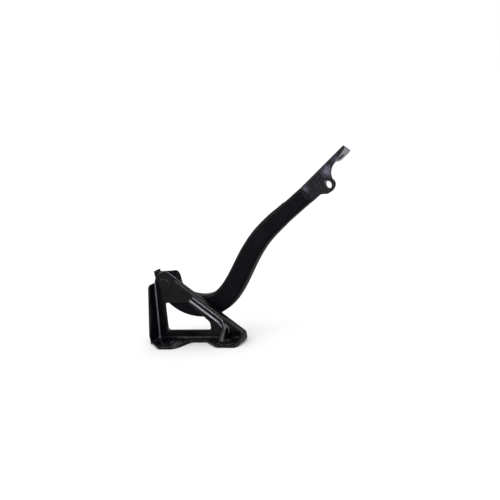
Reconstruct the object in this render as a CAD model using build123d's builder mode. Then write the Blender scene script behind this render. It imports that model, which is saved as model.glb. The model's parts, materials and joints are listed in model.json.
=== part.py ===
from build123d import *

import math
import os

# Gooseneck hood hinge. A pressed steel bracket bolts down on its base flange. A channel arm
# swings on a shouldered rivet through the bracket's head, and a flanged plate welded on the
# arm's far end carries the hood.
#
# Millimetres. Origin: midway between the two base bolt holes, on the underside of the base
# flange. +X runs along the base towards the arm's far end, +Y goes from the bracket's open
# side to the side where the arm swings, +Z is up. The arm is drawn with the hood open.

# ---------------------------------------------------------------- bracket
BOLT_HOLE_RADIUS = 4.5
BOLT_HOLE_X = 39.0
BOLT_HOLE_Y = 3.6
HOLES_TO_WEB = 17.5
BRACKET_SHEET = 3.0
BEND_OUTER = 5.0
BEND_INNER = BEND_OUTER - BRACKET_SHEET
BASE_LEFT = -75.0
BASE_RIGHT = 59.0
TOE_HEIGHT = 12.0
TOE_CORNER = 6.0
HEEL_CORNER = 5.5
HEAD_X = -45.5
HEAD_Z = 73.0
HEAD_RADIUS = 18.0
PIVOT_X = -47.5
PIVOT_Z = 73.0
# The uncut pan runs past the head: by a length along the diagonal leg, and by a multiple of
# the left flange's rise.
PAN_RUN = 25.0
PAN_RISE = 1.35

# How far a shape that trims or cuts runs past what it trims, and how close counts as equal.
PAST = 1.0
NEAR = 0.01

WEB_FRONT = HOLES_TO_WEB
WEB_BACK = WEB_FRONT + BRACKET_SHEET

LEFT_LOBE_DEPTH = 34.5
LEFT_LOBE_START = -52.0
LEFT_LOBE_END = -27.0
RIGHT_LOBE_DEPTH = 27.5
RIGHT_LOBE_START = 28.0
RIGHT_LOBE_CORNER = 7.5
TOE_WALL_LOW = 3.6
WAIST_DEPTH = 10.3
WAIST_START = -17.0
WAIST_END = 5.0
LOBE_CORNER = 8.0
BASE_SHOULDER_Y = 2.5
LOBE_SIDE_CORNER = 14.0
WAIST_CORNER = 6.0
PAD_RADIUS = 12.0
PAD_HEIGHT = 0.8

LEFT_FLANGE_TOP = 76.6
LEFT_FLANGE_TOP_X = -65.8
LEFT_FLANGE_TOP_DEPTH = 11.3
LEFT_FLANGE_LOW = 12.0
LEFT_FLANGE_LOW_DEPTH = 19.2
LEFT_FLANGE_ROOT_DEPTH = 17.0
LEFT_FLANGE_CORNER = 5.0
LEFT_FLANGE_RUN = 15.0
DIAGONAL_FLANGE_START = 10.0
DIAGONAL_FLANGE_DEPTH = 8.0

WINDOW_LEFT_LOW = -56.5
WINDOW_LEFT_HIGH = -53.0
WINDOW_BOTTOM = 13.2
WINDOW_TOP = 49.5
WINDOW_TOP_RIGHT = -19.0
WINDOW_RIGHT = 8.5
WINDOW_RIGHT_HIGH = 23.2
WINDOW_CORNER = 3.5

# The bead is a pair of ribs side by side that meet at one foot. For each rib: its inset from
# the diagonal edge, and the X of its start and of its turn down to the foot.
RIBS = [(9.7, -11.0, 25.5), (16.1, -16.5, 19.5)]
RIB_WIDTH = 4.6
RIB_HEIGHT = 1.7
RIB_SLOPE = 50.0
RIB_BEND_RADIUS = 8.0
RIB_FOOT = (29.5, 9.0)
PAD_SLOPE = 25.0
DART_REACH = 11.5
DART_RADIUS = 4.4
DART_TRIM = 23.0

# ---------------------------------------------------------------- pivot
RIVET_SHANK_RADIUS = 5.0
SHOULDER_RADIUS = 6.0
RIVET_HEAD_RADIUS = 9.0
RIVET_HEAD_HEIGHT = 1.3
RIVET_HEAD_ROUND = 1.1
RIVET_TAIL_RADIUS = 8.0
RIVET_TAIL_HEIGHT = 3.0
RIVET_TAIL_ROUND = 2.2
RUNNING_CLEARANCE = 0.05
BUSH_RADIUS = 7.5
BUSH_FLANGE_RADIUS = 9.5
BUSH_FLANGE = 1.4
END_FLOAT = 0.1
SPRING_WASHER_RADIUS = 9.2
SPRING_WASHER_SHEET = 0.8
SPRING_WASHER_RISE = 0.7
RIVET_WASHER_RADIUS = 10.0
RIVET_WASHER_SHEET = 2.0

# ---------------------------------------------------------------- arm
ARM_SHEET = 2.5
ARM_DEPTH = 15.0
ARM_BEND_OUTER = 4.5
ARM_BEND_INNER = ARM_BEND_OUTER - ARM_SHEET
ARM_TOP_X = -49.5
ARM_TOP_Z = 90.5
# Centreline from the open top end, heading straight down: (length, turn in degrees). Each
# bend's length is its radius times its angle.
ARM_RUNS = [
    (11.8, 0),
    (33.0 * math.radians(57), 57),
    (58.7 * math.radians(85), 85),
    (47.3, 0),
    (175.0 * math.radians(19.3), -19.3),
    (51.2, 0),
]
# Points that the edge curves pass through in each bent run.
BEND_STOPS = 3
ARM_HEAD_CORNER = 14.0
ARM_LENGTH = sum(length for length, _ in ARM_RUNS)
# Outer width at distances along the centreline from the open top end.
ARM_WIDTHS = [(0.0, 33.3), (35.0, 29.0), (90.0, 27.1), (ARM_LENGTH, 20.3)]
ARM_END_HEADING = -90 + sum(turn for _, turn in ARM_RUNS)
ARM_OVERRUN = 6.0
UPPER_FLANGE_NOTCH = 28.0

ARM_FRONT = WEB_BACK + BUSH_FLANGE + END_FLOAT
ARM_BACK_OF_WEB = ARM_FRONT + ARM_SHEET

# ---------------------------------------------------------------- hood plate
PLATE_SHEET = 2.5
HOOD_ANGLE = 35.5
FLANGE_DEPTH = 19.0
FLANGE_START = -52.0
FLANGE_END = 34.5
# The flange is square to the web as far as its bend line, then it slopes down to the rear.
FLANGE_BEND_LINE = 4.0
FLANGE_TILT = 5.0
EAR_DEPTH = 39.0
EAR_END_SLANT = 10.0
EAR_WIDTH = 17.0
EAR_CORNER = 5.0
EAR_ROOT_CORNER = 6.0
FLANGE_ANCHOR_X = 182.8
FLANGE_ANCHOR_Z = 197.2
PLATE_BEND_OUTER = 3.5
HOOD_HOLE_RADIUS = 4.5
# Hole centres in the flange: distance along it, and distance behind its bend line.
HOOD_HOLES = [(-38.0, 6.5), (16.0, 22.0)]
FLANGE_CORNER = 7.0
LUG_X = 188.0
LUG_Z = 176.7
LUG_RADIUS = 8.2
LUG_EDGE_ANGLES = (-70.0, -15.0, 35.0)
COLLAR_RADIUS = 6.6
COLLAR_RIM_RADIUS = 7.2
COLLAR_BORE = 4.5
COLLAR_LENGTH = 8.5
COLLAR_RIM = 0.6
COLLAR_DISH = 0.8
LAP_EDGE = 5.0
WEB_START = -46.0
HEEL_GAP = 0.3
HEEL_RUN = 4.0
HEEL_SIDE = 11.4
THROAT = (178.0, 167.2)
CHIN = (186.5, 166.9)
CHIN_CORNER = 3.0
NECK = (193.4, 188.0)
BROW_DISTANCE = 15.0
BROW_DROP = 7.8
WEB_TIP_DISTANCE = 34.0
WEB_TIP_DROP = 4.0
WELD_LEG = 2.4
WELD_LOW_SIDE = 8.3
WELD_HIGH_SIDE = 5.3

PLATE_FRONT = ARM_BACK_OF_WEB


def facing_plane(y):
    """Upright plane at one depth: local x is +X, local y is +Z, and it faces -Y."""
    return Plane(origin=(0, y, 0), x_dir=(1, 0, 0), z_dir=(0, -1, 0))


def tangent_touch(point, centre, radius, side):
    """Where a line from a point touches a circle, on the side +1 or -1."""
    away = Vector(*point) - Vector(*centre)
    spread = math.degrees(math.acos(radius / away.length))
    return Vector(*centre) + away.normalized().rotate(Axis.Z, side * spread) * radius


HEAD_CENTRE = (HEAD_X, HEAD_Z)
LEG_TOUCH = tangent_touch((BASE_LEFT, 0), HEAD_CENTRE, HEAD_RADIUS, -1)
TOE = Vector(BASE_RIGHT, TOE_HEIGHT)
DIAGONAL_TOUCH = tangent_touch((BASE_RIGHT, TOE_HEIGHT), HEAD_CENTRE, HEAD_RADIUS, 1)
DIAGONAL = (TOE - DIAGONAL_TOUCH).normalized()
DIAGONAL_OUT = DIAGONAL.rotate(Axis.Z, 90)
LEFT_FLANGE_RISE = Vector(LEFT_FLANGE_TOP_X - BASE_LEFT, LEFT_FLANGE_TOP)


def plan_corner(sketch, point, radius):
    """Rounds the one corner of a sketch that lies at a point of its own plane."""
    corner = sketch.vertices().sort_by_distance(Vector(*point))[0]
    fillet(corner, radius)


def round_toe(face):
    """Rounds both corners of the toe, where the diagonal flange runs round to the base."""
    plan_corner(face, TOE, TOE_CORNER)
    plan_corner(face, (BASE_RIGHT, 0), HEEL_CORNER)


def bracket_face():
    """The bracket's face: upright leg, round head, diagonal leg and level base."""
    with BuildSketch() as face:
        with BuildLine():
            Line((BASE_LEFT, 0), LEG_TOUCH)
            ThreePointArc(LEG_TOUCH, (HEAD_X, HEAD_Z + HEAD_RADIUS), DIAGONAL_TOUCH)
            Line(DIAGONAL_TOUCH, TOE)
            Line(TOE, (BASE_RIGHT, 0))
            Line((BASE_RIGHT, 0), (BASE_LEFT, 0))
        make_face()
        round_toe(face)
    return face.sketch


def pan_face(margin=0.0):
    """The pan that the flanges are bent from, run past the head and drawn in by a margin."""
    with BuildSketch() as face:
        with BuildLine():
            Polyline(
                (BASE_LEFT, 0),
                Vector(BASE_LEFT, 0) + LEFT_FLANGE_RISE * PAN_RISE,
                DIAGONAL_TOUCH - DIAGONAL * PAN_RUN,
                TOE,
                (BASE_RIGHT, 0),
                close=True,
            )
        make_face()
        round_toe(face)
        offset(amount=-margin, mode=Mode.REPLACE)
    return face.sketch


def floor_edges(part, y):
    """The edges of a pan's floor at one depth, where its sides are bent up."""
    return part.edges().filter_by_position(Axis.Y, y, y)


# Kept volume: the web's own face, and how far the base, left and diagonal flanges reach.
with BuildPart() as bracket_reach:
    with BuildSketch(Plane.XY.offset(-PAST)) as base_plan:
        left_front = WEB_FRONT - LEFT_LOBE_DEPTH
        right_front = WEB_FRONT - RIGHT_LOBE_DEPTH
        waist_front = WEB_FRONT - WAIST_DEPTH
        with BuildLine():
            Polyline(
                (BASE_LEFT, WEB_BACK),
                (BASE_LEFT, BASE_SHOULDER_Y),
                (LEFT_LOBE_START, left_front),
                (LEFT_LOBE_END, left_front),
                (WAIST_START, waist_front),
                (WAIST_END, waist_front),
                (RIGHT_LOBE_START, right_front),
                (BASE_RIGHT, right_front),
                (BASE_RIGHT, WEB_BACK),
                close=True,
            )
        make_face()
        plan_corner(base_plan, (LEFT_LOBE_START, left_front), LOBE_CORNER)
        plan_corner(base_plan, (LEFT_LOBE_END, left_front), LOBE_SIDE_CORNER)
        plan_corner(base_plan, (RIGHT_LOBE_START, right_front), LOBE_SIDE_CORNER)
        plan_corner(base_plan, (BASE_RIGHT, right_front), RIGHT_LOBE_CORNER)
        plan_corner(base_plan, (WAIST_START, waist_front), WAIST_CORNER)
        plan_corner(base_plan, (WAIST_END, waist_front), WAIST_CORNER)
    extrude(amount=PAST + LEFT_FLANGE_LOW)
    with BuildSketch(Plane.YZ.offset(RIGHT_LOBE_START)):
        with BuildLine():
            Polyline(
                (right_front - PAST, TOE_WALL_LOW),
                (WEB_FRONT - DIAGONAL_FLANGE_DEPTH, TOE_HEIGHT),
                (right_front - PAST, TOE_HEIGHT),
                close=True,
            )
        make_face()
    extrude(amount=BASE_RIGHT + PAST - RIGHT_LOBE_START, mode=Mode.SUBTRACT)
    with BuildSketch(Plane.YZ.offset(BASE_LEFT)) as left_profile:
        with BuildLine():
            Polyline(
                (WEB_BACK, 0),
                (WEB_FRONT - LEFT_FLANGE_ROOT_DEPTH, 0),
                (WEB_FRONT - LEFT_FLANGE_LOW_DEPTH, LEFT_FLANGE_LOW),
                (WEB_FRONT - LEFT_FLANGE_TOP_DEPTH, LEFT_FLANGE_TOP),
                (WEB_BACK, LEFT_FLANGE_TOP),
                close=True,
            )
        make_face()
        left_top = (WEB_FRONT - LEFT_FLANGE_TOP_DEPTH, LEFT_FLANGE_TOP)
        plan_corner(left_profile, left_top, LEFT_FLANGE_CORNER)
    extrude(amount=LEFT_FLANGE_RUN)
    with BuildSketch(facing_plane(WEB_BACK)) as lip_face:
        with BuildLine():
            Polyline(
                DIAGONAL_TOUCH + DIAGONAL * DIAGONAL_FLANGE_START - DIAGONAL_OUT * BEND_OUTER,
                DIAGONAL_TOUCH + DIAGONAL * DIAGONAL_FLANGE_START + DIAGONAL_OUT,
                TOE + DIAGONAL_OUT,
                (BASE_RIGHT, 0),
                close=True,
            )
        make_face()
        plan_corner(lip_face, TOE + DIAGONAL_OUT, TOE_CORNER)
    extrude(amount=BRACKET_SHEET + DIAGONAL_FLANGE_DEPTH)
    with BuildSketch(facing_plane(WEB_BACK)):
        add(bracket_face())
    extrude(amount=BRACKET_SHEET)

with BuildPart() as pan_inside:
    with BuildSketch(facing_plane(WEB_FRONT)):
        add(pan_face(margin=BRACKET_SHEET))
    extrude(amount=LEFT_LOBE_DEPTH + BRACKET_SHEET)
    fillet(floor_edges(pan_inside, WEB_FRONT), BEND_INNER)

# Half-round dart pressed across the bend at the ribs' foot, trimmed to the pan's inner side.
dart_top = (RIB_FOOT[0], WEB_FRONT + DART_RADIUS, BRACKET_SHEET + DART_REACH + DART_RADIUS)
with BuildPart() as dart:
    with BuildSketch(Plane(origin=dart_top, z_dir=(0, -1, -1))):
        Circle(DART_RADIUS)
    extrude(amount=(DART_REACH + DART_RADIUS * 2) * math.sqrt(2))
    with BuildSketch(Plane.YZ.offset(RIB_FOOT[0] - DART_RADIUS)):
        with BuildLine():
            Polyline(
                (WEB_FRONT + PAST, BRACKET_SHEET - PAST),
                (WEB_FRONT - DART_TRIM, BRACKET_SHEET - PAST),
                (WEB_FRONT - DART_TRIM, BRACKET_SHEET + DART_TRIM),
                (WEB_FRONT + PAST, BRACKET_SHEET + DART_TRIM),
                close=True,
            )
        make_face()
    extrude(amount=DART_RADIUS * 2, mode=Mode.INTERSECT)

with BuildPart() as hinge_bracket:
    with BuildSketch(facing_plane(WEB_BACK)):
        add(pan_face())
    extrude(amount=LEFT_LOBE_DEPTH + BRACKET_SHEET)
    fillet(floor_edges(hinge_bracket, WEB_BACK), BEND_OUTER)
    add(pan_inside.part, mode=Mode.SUBTRACT)
    add(bracket_reach.part, mode=Mode.INTERSECT)
    for inset, start_x, turn_x in RIBS:
        rib_line = DIAGONAL_TOUCH - DIAGONAL_OUT * inset
        start = rib_line + DIAGONAL * ((start_x - rib_line.X) / DIAGONAL.X)
        turn = rib_line + DIAGONAL * ((turn_x - rib_line.X) / DIAGONAL.X)
        with BuildSketch(facing_plane(WEB_FRONT)):
            with BuildLine():
                FilletPolyline(start, turn, RIB_FOOT, radius=RIB_BEND_RADIUS)
            trace(line_width=RIB_WIDTH)
        extrude(amount=RIB_HEIGHT, taper=RIB_SLOPE)
    add(dart.part)
    with BuildSketch(facing_plane(WEB_FRONT - RIB_HEIGHT - PAST)) as window:
        with BuildLine():
            Polyline(
                (WINDOW_LEFT_LOW, WINDOW_BOTTOM),
                (WINDOW_LEFT_HIGH, WINDOW_TOP),
                (WINDOW_TOP_RIGHT, WINDOW_TOP),
                (WINDOW_RIGHT, WINDOW_RIGHT_HIGH),
                (WINDOW_RIGHT, WINDOW_BOTTOM),
                close=True,
            )
        make_face()
        fillet(window.vertices(), WINDOW_CORNER)
    extrude(amount=-(PAST + RIB_HEIGHT + BRACKET_SHEET + PAST), mode=Mode.SUBTRACT)
    with BuildSketch(Plane.XY.offset(BRACKET_SHEET)):
        with Locations((-BOLT_HOLE_X, -BOLT_HOLE_Y), (BOLT_HOLE_X, BOLT_HOLE_Y)):
            Circle(PAD_RADIUS)
    extrude(amount=PAD_HEIGHT, taper=PAD_SLOPE)
    with BuildSketch(Plane.XY):
        with Locations((-BOLT_HOLE_X, -BOLT_HOLE_Y), (BOLT_HOLE_X, BOLT_HOLE_Y)):
            Circle(BOLT_HOLE_RADIUS)
    extrude(amount=BRACKET_SHEET + PAD_HEIGHT, mode=Mode.SUBTRACT)
    with BuildSketch(facing_plane(WEB_FRONT)):
        with Locations((PIVOT_X, PIVOT_Z)):
            Circle(RIVET_SHANK_RADIUS)
    extrude(amount=-BRACKET_SHEET, mode=Mode.SUBTRACT)


# ---------------------------------------------------------------- gooseneck arm
def arm_place(distance):
    """Point (X, Z) and heading on the arm's centreline, at a distance from its open top."""
    x, z, heading = ARM_TOP_X, ARM_TOP_Z, -90.0
    for index, (length, turn) in enumerate(ARM_RUNS):
        last = index == len(ARM_RUNS) - 1
        step = distance if last else min(distance, length)
        swing = turn * step / length
        chord = step
        if swing:
            half = math.radians(swing / 2)
            chord = step * math.sin(half) / half
        along = math.radians(heading + swing / 2)
        x += chord * math.cos(along)
        z += chord * math.sin(along)
        heading += swing
        distance -= step
        if distance <= 0 and not last:
            break
    return x, z, heading


def arm_offset(distance, sideways):
    """Point beside the centreline: positive sideways is to the left of the heading."""
    x, z, heading = arm_place(distance)
    across = math.radians(heading + 90)
    return x + sideways * math.cos(across), z + sideways * math.sin(across)


def arm_half_width(distance):
    """Half of the channel's outer width, which narrows in three straight tapers."""
    for (near, near_width), (far, far_width) in zip(ARM_WIDTHS, ARM_WIDTHS[1:]):
        if distance <= far:
            break
    share = (distance - near) / (far - near)
    return (near_width + (far_width - near_width) * share) / 2


def arm_outline(margin, overrun):
    """The arm's face, drawn in by a margin and run past both ends by an overrun."""
    joints = [0.0]
    for length, turn in ARM_RUNS:
        stops = BEND_STOPS if turn else 1
        joints += [joints[-1] + length * (n + 1) / stops for n in range(stops)]
    joints[-1] += overrun
    sides = {}
    for side in (1, -1):
        sides[side] = [arm_offset(d, side * (arm_half_width(d) - margin)) for d in joints]
        x, z, _ = arm_place(0)
        sides[side][0] = (x + side * (arm_half_width(0) - margin), z + overrun)
    end = math.radians(ARM_END_HEADING)
    headings = [(0, -1), (math.cos(end), math.sin(end))]
    with BuildSketch() as face:
        with BuildLine():
            left = Spline(*sides[1], tangents=headings)
            right = Spline(*sides[-1], tangents=headings)
            Line(left @ 0, right @ 0)
            Line(left @ 1, right @ 1)
        make_face()
    return face.sketch


def long_edges(part, y):
    """The two curved edges of the channel's web at one depth."""
    return part.edges().filter_by_position(Axis.Y, y, y).sort_by(SortBy.LENGTH)[-2:]


with BuildPart() as channel_inside:
    with BuildSketch(facing_plane(ARM_BACK_OF_WEB)):
        add(arm_outline(ARM_SHEET, ARM_OVERRUN))
    extrude(amount=-(ARM_DEPTH + PAST))
    fillet(long_edges(channel_inside, ARM_BACK_OF_WEB), ARM_BEND_INNER)

with BuildPart() as gooseneck_arm:
    with BuildSketch(facing_plane(ARM_FRONT)):
        add(arm_outline(0, 0))
    extrude(amount=-ARM_DEPTH)
    fillet(long_edges(gooseneck_arm, ARM_FRONT), ARM_BEND_OUTER)
    add(channel_inside.part, mode=Mode.SUBTRACT)
    notch_start = ARM_LENGTH - UPPER_FLANGE_NOTCH
    with BuildSketch(facing_plane(ARM_BACK_OF_WEB)):
        with BuildLine():
            Polyline(
                arm_offset(notch_start, arm_half_width(notch_start) - ARM_BEND_OUTER),
                arm_offset(notch_start, arm_half_width(notch_start) + PAST),
                arm_offset(ARM_LENGTH + PAST, arm_half_width(ARM_LENGTH) + PAST),
                arm_offset(ARM_LENGTH + PAST, arm_half_width(ARM_LENGTH) - ARM_BEND_OUTER),
                close=True,
            )
        make_face()
    extrude(amount=-ARM_DEPTH, mode=Mode.SUBTRACT)
    with BuildSketch(Plane.YZ.offset(ARM_TOP_X)) as head_corner:
        with BuildLine():
            free_edge = ARM_FRONT + ARM_DEPTH
            Line((free_edge, ARM_TOP_Z - ARM_HEAD_CORNER), (free_edge, ARM_TOP_Z))
            Line((free_edge, ARM_TOP_Z), (free_edge - ARM_HEAD_CORNER, ARM_TOP_Z))
            RadiusArc(
                (free_edge - ARM_HEAD_CORNER, ARM_TOP_Z),
                (free_edge, ARM_TOP_Z - ARM_HEAD_CORNER),
                ARM_HEAD_CORNER,
            )
        make_face()
    extrude(amount=ARM_WIDTHS[0][1], mode=Mode.SUBTRACT)
    with BuildSketch(facing_plane(ARM_FRONT)):
        with Locations((PIVOT_X, PIVOT_Z)):
            Circle(BUSH_RADIUS)
    extrude(amount=-ARM_SHEET, mode=Mode.SUBTRACT)


# ---------------------------------------------------------------- hood plate
ALONG = Vector(1, 0).rotate(Axis.Z, HOOD_ANGLE)
ABOVE = ALONG.rotate(Axis.Z, 90)
ANCHOR = Vector(FLANGE_ANCHOR_X, FLANGE_ANCHOR_Z)
LUG = Vector(LUG_X, LUG_Z)


def flange_plane(depth, tilt):
    """Plane on the flange's upper face: local x is along it, local y runs to its rear."""
    upright = math.cos(math.radians(tilt))
    return Plane(
        origin=(ANCHOR.X, PLATE_FRONT + depth, ANCHOR.Y),
        x_dir=(ALONG.X, 0, ALONG.Y),
        z_dir=(ABOVE.X * upright, math.sin(math.radians(tilt)), ABOVE.Y * upright),
    )


def on_flange(distance, drop=0.0):
    """Point (X, Z) on the flange's upper face, or under it by a drop."""
    return ANCHOR + ALONG * distance - ABOVE * drop


with BuildPart() as hood_plate:
    with BuildSketch(facing_plane(PLATE_FRONT)) as web:
        with BuildLine():
            lap_start = ARM_LENGTH - UPPER_FLANGE_NOTCH
            lap_low = Vector(*arm_offset(lap_start, LAP_EDGE - arm_half_width(lap_start)))
            past_arm = ARM_LENGTH + HEEL_GAP
            lap_end = Vector(*arm_offset(past_arm, LAP_EDGE - arm_half_width(ARM_LENGTH)))
            step = Vector(*arm_offset(past_arm, -HEEL_SIDE))
            heel = Vector(*arm_offset(ARM_LENGTH + HEEL_RUN, -HEEL_SIDE))
            lug_low, lug_right, lug_high = [
                LUG + Vector(LUG_RADIUS, 0).rotate(Axis.Z, angle) for angle in LUG_EDGE_ANGLES
            ]
            brow = on_flange(BROW_DISTANCE, BROW_DROP)
            web_tip = on_flange(WEB_TIP_DISTANCE, WEB_TIP_DROP)
            Polyline(
                on_flange(WEB_START), lap_low, lap_end, step, heel, THROAT, CHIN, lug_low
            )
            ThreePointArc(lug_low, lug_right, lug_high)
            brow_curve = TangentArc(brow, NECK, tangent=-ALONG)
            TangentArc(NECK, lug_high, tangent=brow_curve % 1)
            Polyline(brow, web_tip, on_flange(WEB_TIP_DISTANCE), on_flange(WEB_START))
        make_face()
        for point in (THROAT, CHIN):
            plan_corner(web, point, CHIN_CORNER)
    extrude(amount=-PLATE_SHEET)
    with BuildSketch(flange_plane(0, 0)):
        with BuildLine():
            Polyline(
                (FLANGE_START, 0),
                (FLANGE_END, 0),
                (FLANGE_END, FLANGE_BEND_LINE),
                (FLANGE_START, FLANGE_BEND_LINE),
                close=True,
            )
        make_face()
    extrude(amount=-PLATE_SHEET)
    with BuildSketch(flange_plane(FLANGE_BEND_LINE, FLANGE_TILT)) as flange_plan:
        ear_far = FLANGE_END - EAR_END_SLANT
        ear_near = ear_far - EAR_WIDTH
        ear_rear = EAR_DEPTH - FLANGE_BEND_LINE
        rear = FLANGE_DEPTH - FLANGE_BEND_LINE
        with BuildLine():
            Polyline(
                (FLANGE_START, 0),
                (FLANGE_END, 0),
                (ear_far, ear_rear),
                (ear_near, ear_rear),
                (ear_near, rear),
                (FLANGE_START, rear),
                close=True,
            )
        make_face()
        plan_corner(flange_plan, (ear_far, ear_rear), EAR_CORNER)
        plan_corner(flange_plan, (ear_near, ear_rear), EAR_CORNER)
        plan_corner(flange_plan, (FLANGE_START, rear), FLANGE_CORNER)
        plan_corner(flange_plan, (ear_near, rear), EAR_ROOT_CORNER)
        with Locations(*HOOD_HOLES):
            Circle(HOOD_HOLE_RADIUS, mode=Mode.SUBTRACT)
    extrude(amount=-PLATE_SHEET)
    top_front = hood_plate.edges().filter_by(
        lambda e: abs(e.center().Y - PLATE_FRONT) < NEAR
        and abs((Vector(e.center().X, e.center().Z) - ANCHOR).dot(ABOVE)) < NEAR
    )
    fillet(top_front, PLATE_BEND_OUTER)
    with BuildSketch(facing_plane(PLATE_FRONT)):
        with Locations(LUG):
            Circle(COLLAR_RADIUS)
    extrude(amount=-PLATE_SHEET, mode=Mode.SUBTRACT)


# ---------------------------------------------------------------- turned pieces
def turned(profile, x, z):
    """A piece turned about a line along Y, from a closed run of (radius, depth) corners."""
    with BuildPart() as piece:
        with BuildSketch(Plane(origin=(x, 0, z))):
            with BuildLine():
                Polyline(*profile, close=True)
            make_face()
        revolve(axis=Axis((x, 0, z), (0, 1, 0)))
    return piece


bush_bore = SHOULDER_RADIUS + RUNNING_CLEARANCE
bush_front = ARM_FRONT - BUSH_FLANGE
pivot_bush = turned(
    [
        (bush_bore, bush_front),
        (BUSH_FLANGE_RADIUS, bush_front),
        (BUSH_FLANGE_RADIUS, ARM_FRONT),
        (BUSH_RADIUS, ARM_FRONT),
        (BUSH_RADIUS, ARM_BACK_OF_WEB),
        (bush_bore, ARM_BACK_OF_WEB),
    ],
    PIVOT_X,
    PIVOT_Z,
)

spring_front = ARM_BACK_OF_WEB + END_FLOAT
spring_back = spring_front + SPRING_WASHER_RISE
spring_washer = turned(
    [
        (bush_bore, spring_back),
        (SPRING_WASHER_RADIUS, spring_front),
        (SPRING_WASHER_RADIUS, spring_front + SPRING_WASHER_SHEET),
        (bush_bore, spring_back + SPRING_WASHER_SHEET),
    ],
    PIVOT_X,
    PIVOT_Z,
)

shoulder_end = spring_back + SPRING_WASHER_SHEET
washer_back = shoulder_end + RIVET_WASHER_SHEET
rivet_washer = turned(
    [
        (RIVET_SHANK_RADIUS, shoulder_end),
        (RIVET_WASHER_RADIUS, shoulder_end),
        (RIVET_WASHER_RADIUS, washer_back),
        (RIVET_SHANK_RADIUS, washer_back),
    ],
    PIVOT_X,
    PIVOT_Z,
)

head_crown = WEB_FRONT - RIVET_HEAD_HEIGHT
tail_crown = washer_back + RIVET_TAIL_HEIGHT
with BuildPart() as pivot_rivet:
    with BuildSketch(Plane(origin=(PIVOT_X, 0, PIVOT_Z))) as rivet_half:
        with BuildLine():
            Polyline(
                (0, head_crown),
                (RIVET_HEAD_RADIUS, head_crown),
                (RIVET_HEAD_RADIUS, WEB_FRONT),
                (RIVET_SHANK_RADIUS, WEB_FRONT),
                (RIVET_SHANK_RADIUS, WEB_BACK),
                (SHOULDER_RADIUS, WEB_BACK),
                (SHOULDER_RADIUS, shoulder_end),
                (RIVET_SHANK_RADIUS, shoulder_end),
                (RIVET_SHANK_RADIUS, washer_back),
                (RIVET_TAIL_RADIUS, washer_back),
                (RIVET_TAIL_RADIUS, tail_crown),
                (0, tail_crown),
                close=True,
            )
        make_face()
    revolve(axis=Axis((PIVOT_X, 0, PIVOT_Z), (0, 1, 0)))
    fillet(pivot_rivet.edges().filter_by(GeomType.CIRCLE).sort_by(Axis.Y)[0], RIVET_HEAD_ROUND)
    fillet(pivot_rivet.edges().filter_by(GeomType.CIRCLE).sort_by(Axis.Y)[-1], RIVET_TAIL_ROUND)

collar_front = PLATE_FRONT - COLLAR_RIM
lug_collar = turned(
    [
        (COLLAR_BORE + COLLAR_DISH, collar_front),
        (COLLAR_RIM_RADIUS, collar_front),
        (COLLAR_RIM_RADIUS, PLATE_FRONT),
        (COLLAR_RADIUS, PLATE_FRONT),
        (COLLAR_RADIUS, collar_front + COLLAR_LENGTH),
        (COLLAR_BORE, collar_front + COLLAR_LENGTH),
        (COLLAR_BORE, collar_front + COLLAR_DISH),
    ],
    LUG_X,
    LUG_Z,
)

# ---------------------------------------------------------------- weld bead
seam_x, seam_z = arm_offset(ARM_LENGTH, -WELD_LOW_SIDE)
seam_heading = math.radians(ARM_END_HEADING)
with BuildPart() as arm_weld:
    with BuildSketch(
        Plane(
            origin=(seam_x, PLATE_FRONT, seam_z),
            x_dir=(math.cos(seam_heading), 0, math.sin(seam_heading)),
            z_dir=(-math.sin(seam_heading), 0, math.cos(seam_heading)),
        )
    ):
        with BuildLine():
            Polyline((0, 0), (WELD_LEG, 0))
            RadiusArc((WELD_LEG, 0), (0, -WELD_LEG), WELD_LEG)
            Line((0, -WELD_LEG), (0, 0))
        make_face()
    extrude(amount=WELD_LOW_SIDE + WELD_HIGH_SIDE)

PIECES = {
    "hinge_bracket": hinge_bracket,
    "pivot_rivet": pivot_rivet,
    "rivet_washer": rivet_washer,
    "spring_washer": spring_washer,
    "pivot_bush": pivot_bush,
    "gooseneck_arm": gooseneck_arm,
    "hood_plate": hood_plate,
    "lug_collar": lug_collar,
    "arm_weld": arm_weld,
}
os.makedirs("parts", exist_ok=True)
for name, piece in PIECES.items():
    piece.part.label = name
    export_step(piece.part, f"parts/{name}.step")
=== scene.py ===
"""Gooseneck hood hinge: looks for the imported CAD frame. Metres, in the frame's own axes."""
import json
import math

import bmesh
import bpy
from mathutils import Matrix, Vector, noise


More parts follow.
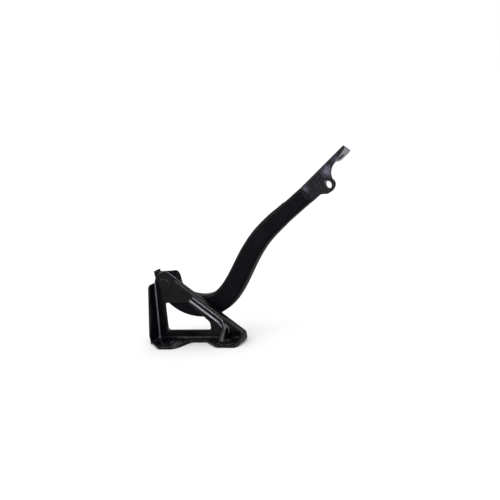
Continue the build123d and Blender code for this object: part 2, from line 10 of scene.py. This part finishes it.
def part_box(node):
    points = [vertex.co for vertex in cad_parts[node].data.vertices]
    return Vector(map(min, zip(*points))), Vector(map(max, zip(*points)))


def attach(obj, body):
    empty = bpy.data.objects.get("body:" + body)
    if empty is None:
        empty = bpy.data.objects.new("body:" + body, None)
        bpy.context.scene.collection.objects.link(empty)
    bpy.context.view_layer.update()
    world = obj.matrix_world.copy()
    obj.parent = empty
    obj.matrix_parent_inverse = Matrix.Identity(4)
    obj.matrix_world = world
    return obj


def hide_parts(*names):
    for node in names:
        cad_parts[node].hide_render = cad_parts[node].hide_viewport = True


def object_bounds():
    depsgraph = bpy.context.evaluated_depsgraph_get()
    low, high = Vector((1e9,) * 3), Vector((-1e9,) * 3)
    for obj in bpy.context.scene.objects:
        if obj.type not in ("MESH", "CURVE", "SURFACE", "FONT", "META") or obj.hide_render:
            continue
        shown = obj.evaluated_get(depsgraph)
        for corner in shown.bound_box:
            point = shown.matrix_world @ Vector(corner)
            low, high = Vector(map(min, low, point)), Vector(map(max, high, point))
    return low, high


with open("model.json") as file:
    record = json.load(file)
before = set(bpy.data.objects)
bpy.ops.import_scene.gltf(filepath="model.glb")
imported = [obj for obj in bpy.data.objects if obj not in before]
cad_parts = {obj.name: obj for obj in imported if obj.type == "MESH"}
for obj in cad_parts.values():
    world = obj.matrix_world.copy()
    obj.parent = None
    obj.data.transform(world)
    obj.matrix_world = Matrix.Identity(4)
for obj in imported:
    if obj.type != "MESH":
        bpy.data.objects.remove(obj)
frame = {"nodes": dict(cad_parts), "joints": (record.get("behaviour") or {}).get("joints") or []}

cad_low, cad_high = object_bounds()

MM = 0.001

# ---------------------------------------------------------------- camera values
# Angles in degrees, distance in metres, lens in millimetres.
CAMERA_AZIMUTH = 29.0
CAMERA_ELEVATION = 11.0
CAMERA_ROLL = 9.8
CAMERA_DISTANCE = 0.85
CAMERA_LENS = 52.3
CAMERA_SENSOR = 36.0
CAMERA_CLIP = (0.01, 20.0)
# Where the middle of the picture falls, as shares of the object's box.
CAMERA_AIM = (0.5469, 0.4293, 0.5133)

# ---------------------------------------------------------------- studio values
# Name, side it shines from, distance and size of the panel in metres, power in watts.
SOFTBOXES = [
    ("key", (0.16, -0.70, 0.68), 0.75, (0.5, 0.5), 25.0),
    ("left", (-0.85, -0.40, 0.45), 0.75, (0.12, 0.35), 6.0),
    ("low", (0.55, -0.80, 0.02), 0.60, (0.5, 0.12), 6.0),
]
WORLD_COLOUR = (1, 1, 1, 1)
WORLD_STRENGTH = 1.0
# The sky is a broad sun without gleams; its angle is in degrees.
SKY_POWER = 0.5
SKY_ANGLE = 60
FLOOR_REACH = 60.0
FLOOR_COLOUR = (0.93, 0.93, 0.93, 1)
FLOOR_ROUGH = 0.9
FLOOR_SPECULAR = 0.1

# ---------------------------------------------------------------- black paint values
# Base colours of the four pieces in black electrocoat.
BRACKET_BLACK = (0.002, 0.0019, 0.003)
ARM_BLACK = (0.0018, 0.0017, 0.003)
RIVET_BLACK = (0.003, 0.003, 0.004)
WELD_BLACK = (0.002, 0.002, 0.003)
# How much lighter the paint is on the crests of its draw waves.
WAVE_LIFT = 1.6
PAINT_DUST = (0.05, 0.049, 0.047)
PAINT_SPECK = (0.06, 0.06, 0.064)
# Colour of sharp edges on the black paint: rubbed wear, and also a painted highlight.
PAINT_EDGE_WEAR_AND_HIGHLIGHT = (0.05, 0.05, 0.056)
# Colour of inner bends: dust, and also a painted highlight.
PAINT_SILT_AND_HIGHLIGHT = (0.10, 0.10, 0.112)
# Colour of the highlight painted on the upper sides of the ribs.
PAINT_RIB_HIGHLIGHT = (0.26, 0.26, 0.29)
# Colour of the highlight painted in inner bends that face +X.
PAINT_BEND_HIGHLIGHT = (0.17, 0.17, 0.20)
# The highlight painted on the ribs is full up to the first distance in front of the web, and gone
# past the second.
RIB_HIGHLIGHT_REACH = 3 * MM
RIB_HIGHLIGHT_END = 4 * MM
# Width of the lighter line along sharp edges: rubbed wear, which on the black paint is also a
# painted highlight.
EDGE_LINE_WIDTH = 0.5 * MM

# ---------------------------------------------------------------- hood plate values
PLATE_MOTTLE_DARK = (0.003, 0.003, 0.004)
PLATE_MOTTLE_LIGHT = (0.021, 0.021, 0.026)
PLATE_CRYSTAL = (0.05, 0.052, 0.06)
PLATE_STREAK = (0.004, 0.004, 0.005)
PLATE_RUBBED_EDGE = (0.06, 0.062, 0.07)
# Painted shade on upward faces of the hood plate.
PLATE_UPWARD_SHADE = (0.006, 0.006, 0.007)
# Painted reflection on downward faces of the hood plate.
PLATE_UNDERSIDE_REFLECTION = (0.20, 0.20, 0.235)
# Colour of the lilac-grey highlights painted on the hood plate.
PLATE_PAINTED_HIGHLIGHT = (0.17, 0.165, 0.24)
PLATE_SPECULAR = 0.04
# Places where a highlight is painted on the hood plate: shares of its own box along X and Z, reach,
# and strength.
PLATE_HIGHLIGHT_PLACES = [
    (0.68, 0.63, 8 * MM, 0.95),
    (0.85, 0.785, 7 * MM, 0.35),
    (0.30, 0.385, 5 * MM, 0.5),
]
# Full swing of the noise that moves a painted highlight's outline, as a multiple of its reach.
HIGHLIGHT_RAGGED = 2.2

# ---------------------------------------------------------------- bare metal values
# Dark and light colour of each metal.
ZINC = ((0.25, 0.25, 0.26), (0.4, 0.4, 0.41))
SPRING_STEEL = ((0.06, 0.062, 0.07), (0.13, 0.13, 0.14))
BRONZE = ((0.22, 0.12, 0.05), (0.42, 0.26, 0.12))
METAL_ROUGH = 0.3
BRONZE_PORES = 0.7

# ---------------------------------------------------------------- mesh values
# Voxel size and smoothing passes of the three skins.
BRACKET_SKIN = (0.54 * MM, 4)
ARM_SKIN = (0.6 * MM, 6)
PLATE_SKIN = (0.45 * MM, 6)
SKIN_SMOOTHING = 0.5
SKIN_WELD = 0.002 * MM
# Heading of the arm's end in degrees above +X, and the length of one weld pool.
ARM_END_HEADING = 32.7
WELD_PITCH = 1.5 * MM
WELD_RINGS = 120
WELD_STEPS = 14
# How far a pool's crescent bows back, and how rounded the crests are.
WELD_CRESCENT = 0.55
WELD_CREST = 0.7
# Size of the bead at its ends, as a share of its full size.
WELD_END = 0.3
# Share of the leg that the bead fills in its dips, then what crests and unevenness add.
WELD_DIP = 0.83
WELD_RIPPLE = 0.11
WELD_UNEVEN = 0.05
# Where the unevenness is read in its noise: along the bead, round it, and which slice.
UNEVEN_ALONG = 400
UNEVEN_ROUND = 0.8
UNEVEN_SLICE = 3.0


def add_object(name, data):
    """A new object in the scene."""
    made = bpy.data.objects.new(name, data)
    bpy.context.scene.collection.objects.link(made)
    return made


# ---------------------------------------------------------------- camera
def make_camera():
    azimuth = math.radians(CAMERA_AZIMUTH)
    elevation = math.radians(CAMERA_ELEVATION)
    roll = math.radians(CAMERA_ROLL)
    size = cad_high - cad_low
    target = cad_low + Vector(share * side for share, side in zip(CAMERA_AIM, size))
    back = Vector(
        (
            math.sin(azimuth) * math.cos(elevation),
            -math.cos(azimuth) * math.cos(elevation),
            math.sin(elevation),
        )
    )
    level = Vector((math.cos(azimuth), math.sin(azimuth), 0))
    upright = back.cross(level)
    right = level * math.cos(roll) - upright * math.sin(roll)
    up = level * math.sin(roll) + upright * math.cos(roll)
    data = bpy.data.cameras.new("camera")
    data.lens = CAMERA_LENS
    data.sensor_width = CAMERA_SENSOR
    data.clip_start, data.clip_end = CAMERA_CLIP
    camera = add_object("camera", data)
    turn = Matrix((right, up, back)).transposed().to_4x4()
    camera.matrix_world = Matrix.Translation(target + back * CAMERA_DISTANCE) @ turn
    bpy.context.scene.camera = camera


# ---------------------------------------------------------------- studio
def make_softbox(name, side, distance, size, power):
    """A soft panel that shows only as a gleam in glossy paint, turned to the object's middle."""
    middle = (cad_low + cad_high) / 2
    data = bpy.data.lights.new(name, "AREA")
    data.shape = "RECTANGLE"
    data.size, data.size_y = size
    data.energy = power
    light = add_object(name, data)
    side = Vector(side).normalized()
    light.location = middle + side * distance
    light.rotation_mode = "QUATERNION"
    light.rotation_quaternion = side.to_track_quat("Z", "Y")
    light.visible_camera = False
    light.visible_diffuse = False


def make_floor():
    """A wide pale sheet under the object."""
    mesh = bpy.data.meshes.new("studio_floor")
    bm = bmesh.new()
    corners = [
        (-FLOOR_REACH, -FLOOR_REACH),
        (FLOOR_REACH, -FLOOR_REACH),
        (FLOOR_REACH, FLOOR_REACH),
        (-FLOOR_REACH, FLOOR_REACH),
    ]
    bm.faces.new([bm.verts.new((x, y, cad_low.z)) for x, y in corners])
    bm.to_mesh(mesh)
    bm.free()
    floor = add_object("studio_floor", mesh)
    material = bpy.data.materials.new("studio_floor")
    material.use_nodes = True
    shader = material.node_tree.nodes["Principled BSDF"]
    shader.inputs["Base Color"].default_value = FLOOR_COLOUR
    shader.inputs["Roughness"].default_value = FLOOR_ROUGH
    shader.inputs["Specular IOR Level"].default_value = FLOOR_SPECULAR
    mesh.materials.append(material)


def make_studio():
    world = bpy.data.worlds.new("studio")
    world.use_nodes = True
    background = world.node_tree.nodes["Background"]
    background.inputs["Color"].default_value = WORLD_COLOUR
    background.inputs["Strength"].default_value = WORLD_STRENGTH
    bpy.context.scene.world = world
    bpy.context.scene.view_settings.view_transform = "Standard"
    make_floor()
    sky = bpy.data.lights.new("sky", "SUN")
    sky.energy = SKY_POWER
    sky.angle = math.radians(SKY_ANGLE)
    sky.specular_factor = 0.0
    add_object("sky", sky)
    for softbox in SOFTBOXES:
        make_softbox(*softbox)


# ---------------------------------------------------------------- node materials
class Paint:
    """Short hand for building one node material."""

    def __init__(self, name):
        self.material = bpy.data.materials.new(name)
        self.material.use_nodes = True
        self.tree = self.material.node_tree
        self.shader = self.tree.nodes["Principled BSDF"]
        self.place = self.add("ShaderNodeTexCoord").outputs["Object"]

    def add(self, kind, **settings):
        node = self.tree.nodes.new(kind)
        for key, value in settings.items():
            setattr(node, key, value)
        return node

    def link(self, source, target):
        """Joins a socket to an input, or sets the input to a plain value."""
        if isinstance(source, (int, float, tuple)):
            target.default_value = source
        else:
            self.tree.links.new(source, target)

    def stretch(self, scale, turn):
        """The place scaled along each axis after a turn in degrees."""
        node = self.add("ShaderNodeMapping")
        node.inputs["Scale"].default_value = scale
        node.inputs["Rotation"].default_value = [math.radians(a) for a in turn]
        self.link(self.place, node.inputs["Vector"])
        return node.outputs["Vector"]

    def noise(self, size, detail=3.0, rough=0.55, place=None, warp=0.0):
        """Noise from about 0 to 1 whose blobs are about a given size in metres."""
        node = self.add("ShaderNodeTexNoise")
        self.link(place or self.place, node.inputs["Vector"])
        node.inputs["Scale"].default_value = 1 / size
        node.inputs["Detail"].default_value = detail
        node.inputs["Roughness"].default_value = rough
        node.inputs["Distortion"].default_value = warp
        return node.outputs["Fac"]

    def cells(self, size):
        """Distance to the nearest of scattered points about a given size apart."""
        node = self.add("ShaderNodeTexVoronoi", feature="F1")
        self.link(self.place, node.inputs["Vector"])
        node.inputs["Scale"].default_value = 1 / size
        return node.outputs["Distance"]

    def math(self, how, a, b=0.0, c=0.0):
        node = self.add("ShaderNodeMath", operation=how)
        for socket, value in zip(node.inputs, (a, b, c)):
            self.link(value, socket)
        return node.outputs[0]

    def times(self, a, b):
        return self.math("MULTIPLY", a, b)

    def split(self, vector):
        """The X, Y and Z outputs of a vector."""
        node = self.add("ShaderNodeSeparateXYZ")
        self.link(vector, node.inputs[0])
        return node.outputs

    def ramp(self, fac, low, high, start=0.0, end=1.0):
        """Maps a value from low..high to start..end, held at both ends."""
        node = self.add("ShaderNodeMapRange", interpolation_type="SMOOTHSTEP")
        values = (fac, low, high, start, end)
        for socket, value in zip(node.inputs, values):
            self.link(value, socket)
        return node.outputs["Result"]

    def mix(self, fac, a, b):
        """Colour a, turning to colour b as fac goes from 0 to 1."""
        node = self.add("ShaderNodeMix", data_type="RGBA")
        self.link(fac, node.inputs[0])
        self.link((*a, 1.0) if isinstance(a, tuple) else a, node.inputs[6])
        self.link((*b, 1.0) if isinstance(b, tuple) else b, node.inputs[7])
        return node.outputs[2]

    def bump(self, height, depth, after=None):
        """Bump whose full height swing is a depth in metres."""
        node = self.add("ShaderNodeBump")
        node.inputs["Distance"].default_value = depth
        self.link(height, node.inputs["Height"])
        if after is not None:
            self.link(after, node.inputs["Normal"])
        return node.outputs["Normal"]

    def edge(self, radius):
        """About 1 on sharp edges and 0 on flats."""
        bevel = self.add("ShaderNodeBevel", samples=6)
        bevel.inputs["Radius"].default_value = radius
        true = self.add("ShaderNodeNewGeometry").outputs["Normal"]
        dot = self.add("ShaderNodeVectorMath", operation="DOT_PRODUCT")
        self.link(bevel.outputs["Normal"], dot.inputs[0])
        self.link(true, dot.inputs[1])
        return self.ramp(dot.outputs["Value"], 0.995, 0.9)

    def hollow(self, flat=0.492, deep=0.45):
        """About 1 along inner bends and 0 on flats."""
        point = self.add("ShaderNodeNewGeometry").outputs["Pointiness"]
        return self.ramp(point, flat, deep)

    def facing(self, axis, low, high):
        """0 to 1 as the surface turns from a low to a high share of its normal along an axis."""
        node = self.add("ShaderNodeSeparateXYZ")
        self.link(self.add("ShaderNodeNewGeometry").outputs["Normal"], node.inputs[0])
        return self.ramp(node.outputs[axis], low, high)

    def near(self, point, reach, ragged):
        """1 at a point, falling to 0 at a reach in metres, with its outline broken by noise."""
        node = self.add("ShaderNodeVectorMath", operation="DISTANCE")
        self.link(self.place, node.inputs[0])
        node.inputs[1].default_value = point
        shift = self.times(self.math("SUBTRACT", ragged, 0.5), reach * HIGHLIGHT_RAGGED)
        return self.ramp(self.math("ADD", node.outputs["Value"], shift), reach, 0.0)


def paint_rib_highlight(p, colour, strength, web, streaks):
    """A painted highlight on the upper sides of ribs, on a web whose front is at Y = web."""
    upper = p.times(p.facing("Z", 0.15, 0.38), p.facing("Y", -0.4, -0.65))
    upper = p.times(upper, p.facing("X", 0.08, 0.22))
    depth = p.split(p.place)["Y"]
    upper = p.times(upper, p.ramp(depth, web - RIB_HIGHLIGHT_END, web - RIB_HIGHLIGHT_REACH))
    upper = p.times(upper, p.ramp(streaks, 0.3, 0.6, 0.5, 1.0))
    return p.mix(p.times(upper, strength), colour, PAINT_RIB_HIGHLIGHT)


def paint_side_bend_highlight(p, colour, strength, blotches):
    """A painted highlight in inner bends that face both +X and the front."""
    turned = p.times(p.facing("X", 0.12, 0.4), p.facing("X", 0.99, 0.8))
    turned = p.times(turned, p.facing("Y", -0.1, -0.4))
    bend = p.times(turned, p.hollow(0.4995, 0.485))
    bend = p.times(bend, p.ramp(blotches, 0.25, 0.6, 0.45, 1.0))
    return p.mix(p.times(bend, strength), colour, PAINT_BEND_HIGHLIGHT)


def black_paint(name, base, sheen_rough, dust, gloss, bend_highlight=0.0, rib_highlight=0.0, web=0.0):
    """Black electrocoat: orange peel, draw waves, dust, thin rubbed edges that also carry a painted
    highlight, and dust in inner bends that also carries a painted highlight. The strength given
    for bends paints a highlight in inner bends that face +X, and the strength given for ribs
    paints a highlight on the upper sides of ribs on a web whose front is at Y = web."""
    p = Paint(name)
    peel = p.noise(1.6 * MM, 2.0, 0.5)
    wave = p.noise(14 * MM, 2.0, 0.5)
    blotches = p.noise(11 * MM, 5.0, 0.65, warp=0.6)
    grit = p.noise(0.35 * MM, 2.0, 0.7)
    streaks = p.noise(1.2 * MM, 4.0, 0.6, place=p.stretch((1.0, 1.0, 0.12), (0, 32, 0)))
    speck = p.ramp(p.cells(2.4 * MM), 0.085, 0.05)
    dusty = p.times(p.ramp(blotches, 0.45, 0.75), p.facing("Z", 0.35, 0.95))
    dusty = p.times(dusty, dust)
    colour = p.mix(p.ramp(wave, 0.3, 0.7), base, tuple(v * WAVE_LIFT for v in base))
    colour = p.mix(dusty, colour, PAINT_DUST)
    colour = p.mix(p.times(speck, 0.2), colour, PAINT_SPECK)
    # Sharp edges lighter: rubbed wear, and also a painted highlight.
    edge_line = p.times(p.edge(EDGE_LINE_WIDTH), p.ramp(streaks, 0.5, 0.7))
    colour = p.mix(p.times(edge_line, 0.4), colour, PAINT_EDGE_WEAR_AND_HIGHLIGHT)
    # Inner bends lighter: dust, and also a painted highlight.
    silt_and_highlight = p.times(p.hollow(), p.ramp(blotches, 0.3, 0.65, 0.35, 1.0))
    colour = p.mix(p.times(silt_and_highlight, 0.8), colour, PAINT_SILT_AND_HIGHLIGHT)
    # Painted highlights: on the upper sides of ribs, and in inner bends that face +X.
    if rib_highlight:
        colour = paint_rib_highlight(p, colour, rib_highlight, web, streaks)
    if bend_highlight:
        colour = paint_side_bend_highlight(p, colour, bend_highlight, blotches)
    p.link(colour, p.shader.inputs["Base Color"])
    rough = p.ramp(blotches, 0.3, 0.75, sheen_rough, sheen_rough + 0.13)
    rough = p.math("ADD", rough, p.times(dusty, 0.4))
    rough = p.math("ADD", rough, p.times(p.ramp(streaks, 0.6, 0.75), 0.08))
    p.link(rough, p.shader.inputs["Roughness"])
    p.shader.inputs["Specular IOR Level"].default_value = gloss
    normal = p.bump(wave, 0.25 * MM)
    normal = p.bump(peel, 0.02 * MM, normal)
    normal = p.bump(grit, 0.003 * MM, normal)
    p.link(normal, p.shader.inputs["Normal"])
    return p.material


def grey_plate(name, highlight_places=()):
    """Thin blue-black phosphate coat with a fine mottle, painted shade on upward faces and a
    painted reflection on downward faces. The places given are (point, reach, strength) where a
    lilac-grey highlight is painted."""
    p = Paint(name)
    cloud = p.noise(7 * MM, 6.0, 0.65, warp=0.8)
    mottle = p.noise(2.0 * MM, 3.0, 0.6)
    crystal = p.noise(0.7 * MM, 3.0, 0.7)
    streak = p.noise(2.5 * MM, 3.0, 0.6, place=p.stretch((0.25, 1.0, 1.0), (0, -34, 0)))
    colour = p.mix(p.ramp(mottle, 0.36, 0.62), PLATE_MOTTLE_DARK, PLATE_MOTTLE_LIGHT)
    colour = p.mix(p.ramp(crystal, 0.55, 0.75, 0.0, 0.3), colour, PLATE_CRYSTAL)
    colour = p.mix(p.ramp(streak, 0.5, 0.75, 0.0, 0.4), colour, PLATE_STREAK)
    edge_line = p.times(p.edge(EDGE_LINE_WIDTH), p.ramp(cloud, 0.4, 0.6, 0.1, 0.5))
    colour = p.mix(edge_line, colour, PLATE_RUBBED_EDGE)
    # Upward faces darker: painted shade.
    colour = p.mix(p.facing("Z", 0.25, 0.6), colour, PLATE_UPWARD_SHADE)
    # Downward faces light grey: a painted reflection.
    under = p.times(p.facing("Z", -0.35, -0.7), p.ramp(cloud, 0.3, 0.6, 0.7, 1.0))
    colour = p.mix(under, colour, PLATE_UNDERSIDE_REFLECTION)
    # Lilac-grey painted highlights at the given places.
    for point, reach, strength in highlight_places:
        lilac_highlight = p.times(p.near(point, reach, mottle), p.ramp(crystal, 0.3, 0.6, 0.6, 1.0))
        lilac_highlight = p.times(lilac_highlight, p.facing("Z", 0.5, 0.2))
        lilac_highlight = p.times(lilac_highlight, strength)
        colour = p.mix(lilac_highlight, colour, PLATE_PAINTED_HIGHLIGHT)
    p.link(colour, p.shader.inputs["Base Color"])
    p.link(p.ramp(cloud, 0.3, 0.7, 0.36, 0.5), p.shader.inputs["Roughness"])
    p.shader.inputs["Specular IOR Level"].default_value = PLATE_SPECULAR
    normal = p.bump(p.noise(9 * MM, 2.0), 0.12 * MM)
    normal = p.bump(crystal, 0.02 * MM, normal)
    p.link(normal, p.shader.inputs["Normal"])
    return p.material


def worn_metal(name, colours, ring=None, pores=0.0):
    """Bare or plated metal in a dark and a light colour. ring is (x, z) of an axis along Y
    that the turning marks go round, and pores is the strength of dark pits."""
    dark, light = colours
    p = Paint(name)
    cloud = p.noise(3 * MM, 5.0, 0.6, warp=0.5)
    fine = p.noise(0.25 * MM, 3.0, 0.7)
    colour = p.mix(p.ramp(cloud, 0.3, 0.7), dark, light)
    height = fine
    if ring:
        shift = p.add("ShaderNodeVectorMath", operation="SUBTRACT")
        p.link(p.place, shift.inputs[0])
        shift.inputs[1].default_value = (ring[0], 0, ring[1])
        from_axis = p.split(shift.outputs[0])
        square = p.times(from_axis["X"], from_axis["X"])
        squares = p.math("MULTIPLY_ADD", from_axis["Z"], from_axis["Z"], square)
        radius = p.math("SQRT", squares)
        join = p.add("ShaderNodeCombineXYZ")
        p.link(radius, join.inputs["X"])
        p.link(p.times(from_axis["Y"], 0.6), join.inputs["Y"])
        lines = p.noise(0.18 * MM, 2.0, 0.6, place=join.outputs[0])
        height = p.math("MULTIPLY_ADD", lines, 0.8, p.times(fine, 0.2))
        colour = p.mix(p.ramp(lines, 0.35, 0.7, 0.0, 0.3), colour, tuple(v * 0.5 for v in dark))
    if pores:
        pits = p.ramp(p.cells(0.55 * MM), 0.22, 0.1, 0.0, pores)
        colour = p.mix(pits, colour, tuple(v * 0.25 for v in dark))
        height = p.math("SUBTRACT", height, pits)
    p.link(colour, p.shader.inputs["Base Color"])
    rough = p.ramp(cloud, 0.3, 0.7, METAL_ROUGH, METAL_ROUGH + 0.15)
    p.link(rough, p.shader.inputs["Roughness"])
    p.shader.inputs["Metallic"].default_value = 1.0
    p.link(p.bump(height, 0.015 * MM), p.shader.inputs["Normal"])
    return p.material


# ---------------------------------------------------------------- meshes from the frame
def shade_smooth(mesh):
    mesh.polygons.foreach_set("use_smooth", [True] * len(mesh.polygons))


def skin_of(node, name, voxel, passes):
    """A new mesh on a CAD node's own shape: even quads with the soft, paint-filled edges of
    a pressing."""
    source = frame["nodes"][node]
    piece = add_object(name, source.data.copy())
    piece.data.materials.clear()
    weld = piece.modifiers.new("weld", "WELD")
    weld.merge_threshold = SKIN_WELD
    remesh = piece.modifiers.new("remesh", "REMESH")
    remesh.mode = "VOXEL"
    remesh.voxel_size = voxel
    smooth = piece.modifiers.new("smooth", "SMOOTH")
    smooth.factor = SKIN_SMOOTHING
    smooth.iterations = passes
    bpy.context.view_layer.update()
    shape = piece.evaluated_get(bpy.context.evaluated_depsgraph_get())
    made = bpy.data.meshes.new_from_object(shape)
    piece.modifiers.clear()
    piece.data = made
    made.name = name
    shade_smooth(made)
    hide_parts(node)
    return piece


def weld_bead():
    """The weld at the arm's end: a quarter-round bead with the crescent ripples of its pools."""
    low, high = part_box("arm_weld")
    low, high = Vector(low), Vector(high)
    heading = math.radians(ARM_END_HEADING)
    run = Vector((math.cos(heading), 0, math.sin(heading)))
    rise = Vector((-math.sin(heading), 0, math.cos(heading)))
    outward = Vector((0, -1, 0))
    leg = high.y - low.y
    length = (high.z - low.z - leg * run.z) / rise.z
    start = Vector((high.x - leg * run.x, high.y, low.z))
    bm = bmesh.new()
    rows = []
    for ring in range(WELD_RINGS + 1):
        along = length * ring / WELD_RINGS
        to_end = min(along, length - along) / leg
        taper = math.sqrt(1 - (1 - min(1, to_end)) ** 2)
        row = [bm.verts.new(start + rise * along)]
        for step in range(WELD_STEPS + 1):
            turn = math.pi / 2 * step / WELD_STEPS
            pool = along / WELD_PITCH - WELD_CRESCENT * math.sin(2 * turn)
            ripple = abs(math.sin(math.pi * pool)) ** WELD_CREST
            uneven = noise.noise(Vector((along * UNEVEN_ALONG, turn * UNEVEN_ROUND, UNEVEN_SLICE)))
            fill = WELD_DIP + WELD_RIPPLE * ripple + WELD_UNEVEN * uneven
            radius = leg * (WELD_END + (1 - WELD_END) * taper) * fill
            point = run * math.cos(turn) + outward * math.sin(turn)
            row.append(bm.verts.new(start + rise * along + point * radius))
        rows.append(row)
    around = WELD_STEPS + 2
    for here, there in zip(rows, rows[1:]):
        for index in range(around):
            after = (index + 1) % around
            bm.faces.new((here[index], here[after], there[after], there[index]))
    bm.faces.new(rows[0][::-1])
    bm.faces.new(rows[-1])
    bmesh.ops.recalc_face_normals(bm, faces=bm.faces[:])
    mesh = bpy.data.meshes.new("weld_bead")
    bm.to_mesh(mesh)
    bm.free()
    shade_smooth(mesh)
    piece = add_object("weld_bead", mesh)
    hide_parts("arm_weld")
    return piece


def finish_piece(piece, material, body):
    piece.data.materials.clear()
    piece.data.materials.append(material)
    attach(piece, body)


def coat(node, material):
    mesh = frame["nodes"][node].data
    mesh.materials.clear()
    mesh.materials.append(material)


# ---------------------------------------------------------------- build
make_camera()
make_studio()

joint = frame["joints"][0]
pivot_axis = (joint["pos_m"][0], joint["pos_m"][2])
web_front = joint["pos_m"][1]

bracket = skin_of("hinge_bracket", "bracket_pressing", *BRACKET_SKIN)
# Bracket paint, with painted highlights in its +X bends and on the upper sides of its ribs.
bracket_paint = black_paint(
    "bracket_black",
    BRACKET_BLACK,
    sheen_rough=0.2,
    dust=0.12,
    gloss=0.1,
    bend_highlight=0.85,
    rib_highlight=0.8,
    web=web_front,
)
finish_piece(bracket, bracket_paint, "bracket")

arm = skin_of("gooseneck_arm", "arm_pressing", *ARM_SKIN)
arm_paint = black_paint("arm_black", ARM_BLACK, sheen_rough=0.42, dust=0.15, gloss=0.03)
finish_piece(arm, arm_paint, "arm")

plate = skin_of("hood_plate", "plate_pressing", *PLATE_SKIN)
plate_low, plate_high = (Vector(corner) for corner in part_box("hood_plate"))
plate_size = plate_high - plate_low
# Places on the hood plate where a highlight is painted.
plate_highlights = [
    (plate_low + Vector((along * plate_size.x, 0, up * plate_size.z)), reach, strength)
    for along, up, reach, strength in PLATE_HIGHLIGHT_PLACES
]
finish_piece(plate, grey_plate("plate_grey", plate_highlights), "arm")

coat("lug_collar", grey_plate("collar_grey"))
coat("pivot_rivet", black_paint("rivet_black", RIVET_BLACK, sheen_rough=0.4, dust=0.15, gloss=0.08))
coat("rivet_washer", worn_metal("washer_zinc", ZINC, ring=pivot_axis))
coat("spring_washer", worn_metal("spring_dark", SPRING_STEEL, ring=pivot_axis))
coat("pivot_bush", worn_metal("bush_bronze", BRONZE, pores=BRONZE_PORES))

bead = weld_bead()
bead_paint = black_paint("weld_black", WELD_BLACK, sheen_rough=0.5, dust=0.0, gloss=0.03)
finish_piece(bead, bead_paint, "arm")
